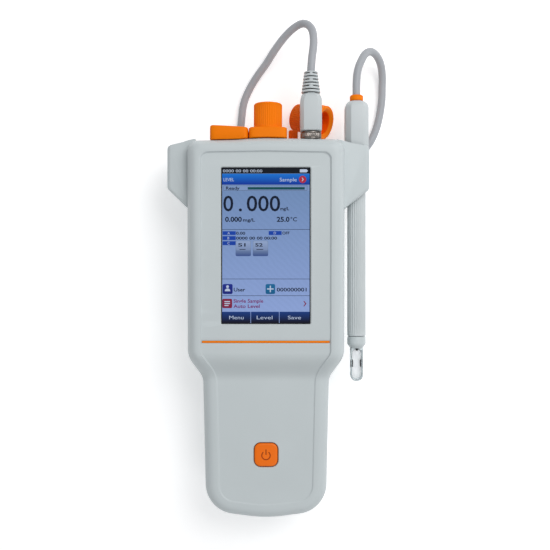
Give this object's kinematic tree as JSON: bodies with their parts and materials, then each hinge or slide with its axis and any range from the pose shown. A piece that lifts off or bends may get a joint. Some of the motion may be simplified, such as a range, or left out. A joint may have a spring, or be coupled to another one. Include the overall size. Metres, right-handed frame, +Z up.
{
  "type": "handheld conductivity meter with probe",
  "caption": "Handheld water conductivity meter with touch display, rubber socket caps, side probe holders and a corded measuring probe stored in one of them.",
  "frame": {"origin": "middle of the rest plane under the meter with its stored probe, cord left out", "axes": "+Z up out of the screen, +Y from the handle to the sockets, +X to the stored probe"},
  "size_m": [0.1412, 0.3154, 0.052],
  "materials": {
    "case": "fine moulded texture, light cool grey",
    "cap": "satin orange rubber",
    "button": "satin orange",
    "cable": "smooth grey cable jacket",
    "plug": "moulded grey boot",
    "black_rubber": "matte black rubber",
    "nickel": "plated metal",
    "screen_glass": "display glass",
    "board": "circuit board lacquer",
    "cell": "battery jacket",
    "probe_plastic": "satin light grey",
    "clear_plastic": "clear moulded plastic",
    "electrode": "black platinised surface"
  },
  "bodies": {
    "root": {"front_shell": "case", "rear_shell": "case", "holder_left": "case", "holder_right": "case", "cap_tether": "cap", "flip_cap_strap": "cap", "accent_strip": "cap", "cable_plug_side": "cable", "cable_probe_side": "cable", "cable_coil": "cable", "plug_boot": "plug", "strain_relief": "plug", "seam_gasket": "black_rubber", "foot_head_left": "black_rubber", "foot_head_right": "black_rubber", "foot_grip_left": "black_rubber", "foot_grip_right": "black_rubber", "buzzer": "black_rubber", "plug_insert": "black_rubber", "probe_socket": "nickel", "sensor_socket": "nickel", "data_socket": "nickel", "display_module": "nickel", "contact_plate_lower": "nickel", "contact_plate_upper": "nickel", "button_dome": "nickel", "case_screw_1": "nickel", "case_screw_2": "nickel", "case_screw_3": "nickel", "case_screw_4": "nickel", "case_screw_5": "nickel", "case_screw_6": "nickel", "touch_glass": "screen_glass", "main_board": "board", "button_board": "board", "battery_cell_1": "cell", "battery_cell_2": "cell", "battery_cell_3": "cell", "battery_cell_4": "cell"},
    "power_button": {"power_button": "button"},
    "flat_cap": {"flat_cap": "cap"},
    "knob_cap": {"knob_cap": "cap"},
    "flip_cap": {"flip_cap": "cap"},
    "plug_nut": {"plug_nut": "nickel"},
    "battery_hatch": {"battery_hatch": "case"},
    "probe": {"probe_cable_ring": "cap", "probe_handle": "probe_plastic", "probe_shaft": "probe_plastic", "probe_collar": "probe_plastic", "probe_guard": "clear_plastic", "electrode_left": "electrode", "electrode_right": "electrode", "thermistor_tip": "electrode", "cable_probe_loop": "cable"}
  },
  "joints": [
    {"name": "power_button_press", "type": "slide", "parent": "root", "child": "power_button", "axis": [0, 0, -1], "range_m": [0, 0.0008], "stiffness_N_per_m": 2500},
    {"name": "flat_cap_hinge", "type": "hinge", "parent": "root", "child": "flat_cap", "pos_m": [-0.0245, 0.1066, 0.0256], "axis": [-1, 0, 0], "range_deg": [0, 95]},
    {"name": "knob_cap_hinge", "type": "hinge", "parent": "root", "child": "knob_cap", "pos_m": [-0.0004, 0.1066, 0.0256], "axis": [-1, 0, 0], "range_deg": [0, 95]},
    {"name": "flip_cap_swing", "type": "hinge", "parent": "root", "child": "flip_cap", "pos_m": [0.0159, 0.113, 0.0185], "axis": [0, 0, 1], "range_deg": [0, 20]},
    {"name": "plug_nut_turn", "type": "hinge", "parent": "root", "child": "plug_nut", "pos_m": [0.0265, 0.1034, 0.036], "axis": [0, 1, 0], "continuous": true},
    {"name": "battery_hatch_hinge", "type": "hinge", "parent": "root", "child": "battery_hatch", "pos_m": [-0.0016, -0.0583, 0.005], "axis": [1, 0, 0], "range_deg": [0, 95]},
    {"name": "probe_slide", "type": "slide", "parent": "root", "child": "probe", "axis": [0, 1, 0], "range_m": [0, 0.155]}
  ]
}
